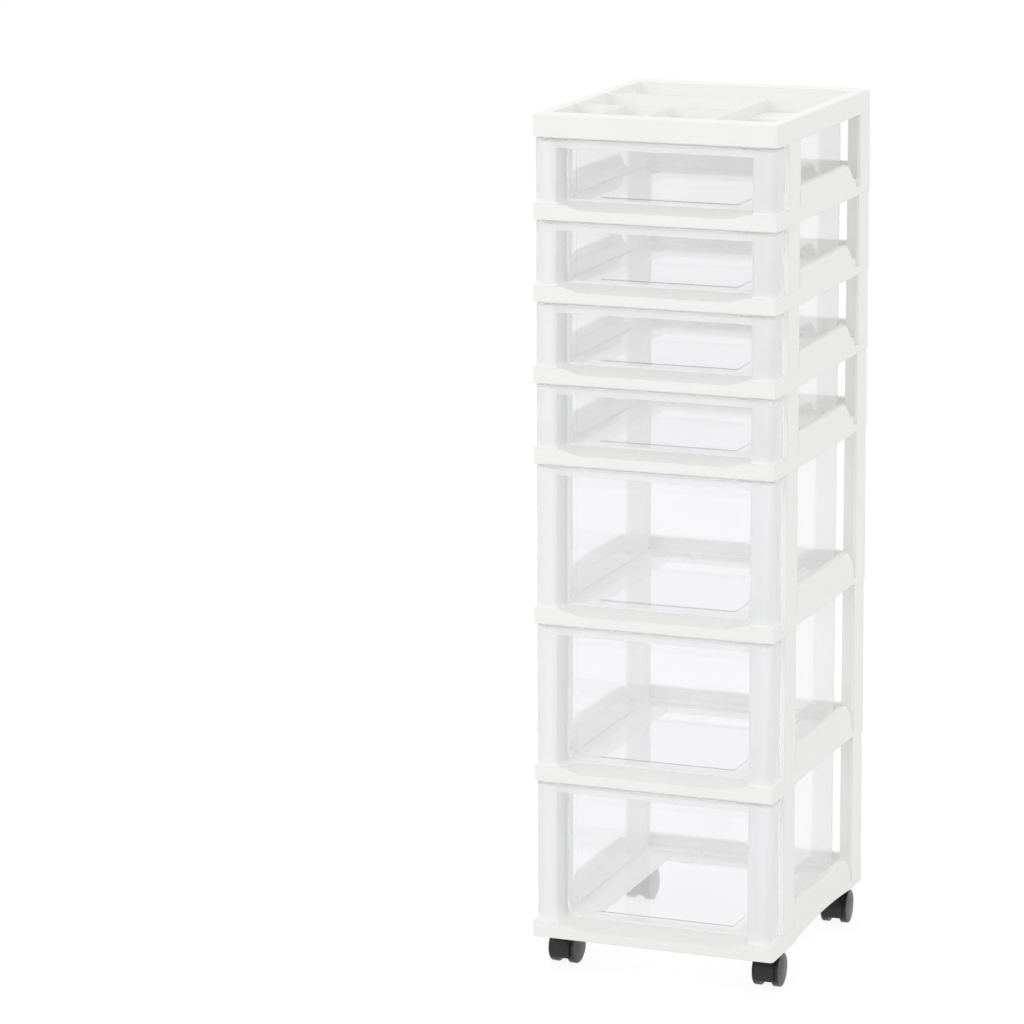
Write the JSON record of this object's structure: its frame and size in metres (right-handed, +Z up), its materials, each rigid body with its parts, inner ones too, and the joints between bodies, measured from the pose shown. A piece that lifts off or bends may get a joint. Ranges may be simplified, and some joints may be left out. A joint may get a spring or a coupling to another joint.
{
  "type": "rolling drawer tower",
  "caption": "Rolling tower of clear shallow and deep drawers in stacked white plastic frames, with a divided tray on top and twin-wheel casters.",
  "frame": {"origin": "on the floor, under the middle of the tower", "axes": "+Z up; the drawers open towards -Y; +X is the right-hand side seen from the front"},
  "size_m": [0.311, 0.367, 1.0595],
  "materials": {
    "white_polypropylene": "satin moulded",
    "clear_polystyrene": "clear, frosted at the columns",
    "black_nylon": "satin moulded",
    "zinc_steel": "zinc plated"
  },
  "bodies": {
    "tower": {"top_tray": "white_polypropylene", "deep_frame_1": "white_polypropylene", "deep_frame_2": "white_polypropylene", "deep_frame_3": "white_polypropylene", "shallow_frame_1": "white_polypropylene", "shallow_frame_2": "white_polypropylene", "shallow_frame_3": "white_polypropylene", "shallow_frame_4": "white_polypropylene", "caster_stem_front_left": "zinc_steel", "caster_stem_front_right": "zinc_steel", "caster_stem_rear_left": "zinc_steel", "caster_stem_rear_right": "zinc_steel"},
    "deep_drawer_1": {"deep_drawer_1": "clear_polystyrene"},
    "deep_drawer_2": {"deep_drawer_2": "clear_polystyrene"},
    "deep_drawer_3": {"deep_drawer_3": "clear_polystyrene"},
    "shallow_drawer_1": {"shallow_drawer_1": "clear_polystyrene"},
    "shallow_drawer_2": {"shallow_drawer_2": "clear_polystyrene"},
    "shallow_drawer_3": {"shallow_drawer_3": "clear_polystyrene"},
    "shallow_drawer_4": {"shallow_drawer_4": "clear_polystyrene"},
    "caster_front_left": {"caster_hood_front_left": "black_nylon", "caster_axle_front_left": "zinc_steel"},
    "caster_wheel_front_left_1": {"caster_wheel_front_left_1": "black_nylon"},
    "caster_wheel_front_left_2": {"caster_wheel_front_left_2": "black_nylon"},
    "caster_front_right": {"caster_hood_front_right": "black_nylon", "caster_axle_front_right": "zinc_steel"},
    "caster_wheel_front_right_1": {"caster_wheel_front_right_1": "black_nylon"},
    "caster_wheel_front_right_2": {"caster_wheel_front_right_2": "black_nylon"},
    "caster_rear_left": {"caster_hood_rear_left": "black_nylon", "caster_axle_rear_left": "zinc_steel"},
    "caster_wheel_rear_left_1": {"caster_wheel_rear_left_1": "black_nylon"},
    "caster_wheel_rear_left_2": {"caster_wheel_rear_left_2": "black_nylon"},
    "caster_rear_right": {"caster_hood_rear_right": "black_nylon", "caster_axle_rear_right": "zinc_steel"},
    "caster_wheel_rear_right_1": {"caster_wheel_rear_right_1": "black_nylon"},
    "caster_wheel_rear_right_2": {"caster_wheel_rear_right_2": "black_nylon"}
  },
  "joints": [
    {"name": "deep_drawer_1_slide", "type": "slide", "parent": "tower", "child": "deep_drawer_1", "axis": [0, -1, 0], "range_m": [0, 0.25]},
    {"name": "deep_drawer_2_slide", "type": "slide", "parent": "tower", "child": "deep_drawer_2", "axis": [0, -1, 0], "range_m": [0, 0.25]},
    {"name": "deep_drawer_3_slide", "type": "slide", "parent": "tower", "child": "deep_drawer_3", "axis": [0, -1, 0], "range_m": [0, 0.25]},
    {"name": "shallow_drawer_1_slide", "type": "slide", "parent": "tower", "child": "shallow_drawer_1", "axis": [0, -1, 0], "range_m": [0, 0.25]},
    {"name": "shallow_drawer_2_slide", "type": "slide", "parent": "tower", "child": "shallow_drawer_2", "axis": [0, -1, 0], "range_m": [0, 0.25]},
    {"name": "shallow_drawer_3_slide", "type": "slide", "parent": "tower", "child": "shallow_drawer_3", "axis": [0, -1, 0], "range_m": [0, 0.25]},
    {"name": "shallow_drawer_4_slide", "type": "slide", "parent": "tower", "child": "shallow_drawer_4", "axis": [0, -1, 0], "range_m": [0, 0.25]},
    {"name": "caster_swivel_front_left", "type": "hinge", "parent": "tower", "child": "caster_front_left", "pos_m": [-0.132, -0.137, 0.0443], "axis": [0, 0, 1], "continuous": true},
    {"name": "caster_wheel_front_left_1_spin", "type": "hinge", "parent": "caster_front_left", "child": "caster_wheel_front_left_1", "pos_m": [-0.13132, -0.12402, 0.021], "axis": [0.9986, -0.0523, 0], "continuous": true},
    {"name": "caster_wheel_front_left_2_spin", "type": "hinge", "parent": "caster_front_left", "child": "caster_wheel_front_left_2", "pos_m": [-0.13132, -0.12402, 0.021], "axis": [0.9986, -0.0523, 0], "continuous": true},
    {"name": "caster_swivel_front_right", "type": "hinge", "parent": "tower", "child": "caster_front_right", "pos_m": [0.132, -0.137, 0.0443], "axis": [0, 0, 1], "continuous": true},
    {"name": "caster_wheel_front_right_1_spin", "type": "hinge", "parent": "caster_front_right", "child": "caster_wheel_front_right_1", "pos_m": [0.13177, -0.124, 0.021], "axis": [0.9998, 0.0175, 0], "continuous": true},
    {"name": "caster_wheel_front_right_2_spin", "type": "hinge", "parent": "caster_front_right", "child": "caster_wheel_front_right_2", "pos_m": [0.13177, -0.124, 0.021], "axis": [0.9998, 0.0175, 0], "continuous": true},
    {"name": "caster_swivel_rear_left", "type": "hinge", "parent": "tower", "child": "caster_rear_left", "pos_m": [-0.132, 0.137, 0.0443], "axis": [0, 0, 1], "continuous": true},
    {"name": "caster_wheel_rear_left_1_spin", "type": "hinge", "parent": "caster_rear_left", "child": "caster_wheel_rear_left_1", "pos_m": [-0.13155, 0.14999, 0.021], "axis": [0.9994, -0.0349, 0], "continuous": true},
    {"name": "caster_wheel_rear_left_2_spin", "type": "hinge", "parent": "caster_rear_left", "child": "caster_wheel_rear_left_2", "pos_m": [-0.13155, 0.14999, 0.021], "axis": [0.9994, -0.0349, 0], "continuous": true},
    {"name": "caster_swivel_rear_right", "type": "hinge", "parent": "tower", "child": "caster_rear_right", "pos_m": [0.132, 0.137, 0.0443], "axis": [0, 0, 1], "continuous": true},
    {"name": "caster_wheel_rear_right_1_spin", "type": "hinge", "parent": "caster_rear_right", "child": "caster_wheel_rear_right_1", "pos_m": [0.13132, 0.14998, 0.021], "axis": [0.9986, 0.0523, 0], "continuous": true},
    {"name": "caster_wheel_rear_right_2_spin", "type": "hinge", "parent": "caster_rear_right", "child": "caster_wheel_rear_right_2", "pos_m": [0.13132, 0.14998, 0.021], "axis": [0.9986, 0.0523, 0], "continuous": true}
  ]
}
